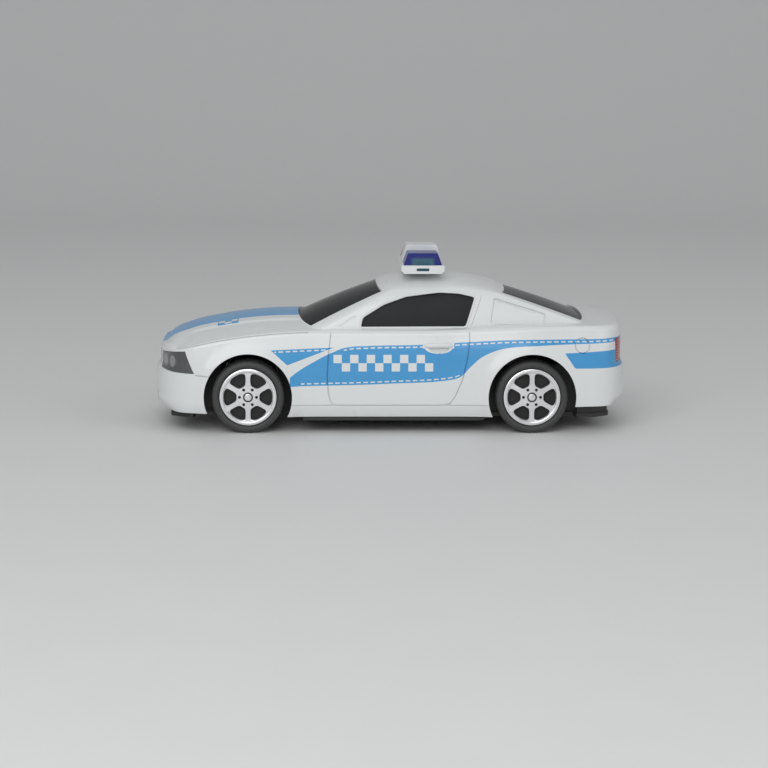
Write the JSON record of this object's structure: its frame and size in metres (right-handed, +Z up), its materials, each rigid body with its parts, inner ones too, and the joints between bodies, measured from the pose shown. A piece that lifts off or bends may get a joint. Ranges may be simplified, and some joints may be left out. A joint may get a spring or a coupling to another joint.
{
  "type": "toy police car",
  "caption": "Toy police coupe with a moulded shell, roof light bar, dark glazing, spoked wheels, castering front steering and a geared rear drive.",
  "frame": {"origin": "on the ground under the middle of the car", "axes": "+X from nose to tail, +Y to the right side of the car, +Z up"},
  "size_m": [0.19, 0.079, 0.0724],
  "materials": {
    "body_white": "glossy moulded white",
    "smoked_window": "glossy dark smoke",
    "black_trim": "satin black",
    "reflector_chrome": "bright plated",
    "clear_lens": "clear glossy",
    "tail_red": "glossy translucent red",
    "bar_white": "glossy moulded white",
    "lens_blue": "glossy translucent blue",
    "lens_red": "glossy translucent red",
    "screw_steel": "zinc plated",
    "chassis_black": "moulded black with a fine grain",
    "cell_wrap": "plain printed sleeve without marks",
    "contact_metal": "nickel plated",
    "board_green": "green solder mask",
    "component_grey": "dark grey",
    "switch_black": "satin black",
    "motor_can": "plated can",
    "shaft_steel": "bright steel",
    "gear_nylon": "natural nylon",
    "gearbox_plastic": "moulded grey white",
    "bush_bronze": "sintered bronze",
    "tyre_rubber": "matt rubber",
    "rim_silver": "silver painted plastic",
    "hub_black": "moulded black"
  },
  "bodies": {
    "car": {"body_shell": "body_white", "window_insert": "smoked_window", "grille_insert": "black_trim", "headlight_reflectors": "reflector_chrome", "headlight_lens_left": "clear_lens", "headlight_lens_right": "clear_lens", "tail_light_lens_left": "tail_red", "tail_light_lens_right": "tail_red", "light_bar_base": "bar_white", "light_bar_centre": "bar_white", "light_bar_lens_blue": "lens_blue", "light_bar_lens_red": "lens_red", "body_screws": "screw_steel", "chassis": "chassis_black", "battery_cells": "cell_wrap", "battery_contacts": "contact_metal", "circuit_board": "board_green", "board_components": "component_grey", "power_switch_body": "switch_black", "motor": "motor_can", "gearbox_housing": "gearbox_plastic", "gearbox_cover": "gearbox_plastic", "gearbox_screws": "screw_steel", "reduction_shaft": "shaft_steel", "rear_bushes": "bush_bronze", "kingpins": "shaft_steel", "steering_cover": "chassis_black", "steering_screws": "screw_steel"},
    "rear_wheelset": {"rear_axle": "shaft_steel", "axle_gear": "gear_nylon", "rear_left_tyre": "tyre_rubber", "rear_left_rim": "rim_silver", "rear_left_hub": "hub_black", "rear_right_tyre": "tyre_rubber", "rear_right_rim": "rim_silver", "rear_right_hub": "hub_black"},
    "reduction": {"reduction_gear": "gear_nylon"},
    "motor_rotor": {"motor_shaft": "shaft_steel", "pinion_gear": "gear_nylon"},
    "knuckle_left": {"steering_knuckle_left": "chassis_black", "stub_axle_left": "shaft_steel"},
    "knuckle_right": {"steering_knuckle_right": "chassis_black", "stub_axle_right": "shaft_steel"},
    "front_left_wheel": {"front_left_tyre": "tyre_rubber", "front_left_rim": "rim_silver", "front_left_hub": "hub_black"},
    "front_right_wheel": {"front_right_tyre": "tyre_rubber", "front_right_rim": "rim_silver", "front_right_hub": "hub_black"},
    "steering_rod": {"tie_rod": "chassis_black"},
    "battery_cover": {"battery_door": "chassis_black", "battery_door_screw": "screw_steel"},
    "power_switch": {"power_switch_knob": "switch_black"}
  },
  "joints": [
    {"name": "rear_axle_spin", "type": "hinge", "parent": "car", "child": "rear_wheelset", "pos_m": [0.056, 0, 0.0145], "axis": [0, 1, 0], "continuous": true},
    {"name": "reduction_spin", "type": "hinge", "parent": "car", "child": "reduction", "pos_m": [0.04812, 0, 0.01905], "axis": [0, 1, 0], "continuous": true},
    {"name": "pinion_spin", "type": "hinge", "parent": "car", "child": "motor_rotor", "pos_m": [0.03916, 0, 0.01747], "axis": [0, 1, 0], "continuous": true},
    {"name": "left_steer", "type": "hinge", "parent": "car", "child": "knuckle_left", "pos_m": [-0.06, -0.0204, 0.0145], "axis": [0, 0, 1], "range_deg": [0, 18]},
    {"name": "right_steer", "type": "hinge", "parent": "car", "child": "knuckle_right", "pos_m": [-0.06, 0.0204, 0.0145], "axis": [0, 0, 1], "range_deg": [0, 18]},
    {"name": "tie_rod_slide", "type": "slide", "parent": "car", "child": "steering_rod", "axis": [0, 1, 0], "range_m": [0, 0.00283]},
    {"name": "front_left_spin", "type": "hinge", "parent": "knuckle_left", "child": "front_left_wheel", "pos_m": [-0.057, -0.0323, 0.0145], "axis": [0, 1, 0], "continuous": true},
    {"name": "front_right_spin", "type": "hinge", "parent": "knuckle_right", "child": "front_right_wheel", "pos_m": [-0.057, 0.0323, 0.0145], "axis": [0, 1, 0], "continuous": true},
    {"name": "battery_door_removal", "type": "slide", "parent": "car", "child": "battery_cover", "axis": [0, 0, -1], "range_m": [0, 0.025]},
    {"name": "power_switch_slide", "type": "slide", "parent": "car", "child": "power_switch", "axis": [1, 0, 0], "range_m": [0, 0.003]}
  ],
  "couplings": [
    {"joint": "reduction_spin", "follows": "rear_axle_spin", "ratio": -2.6},
    {"joint": "pinion_spin", "follows": "rear_axle_spin", "ratio": 6.76},
    {"joint": "right_steer", "follows": "left_steer", "ratio": 1},
    {"joint": "tie_rod_slide", "follows": "left_steer", "m_per_rad": 0.009}
  ]
}
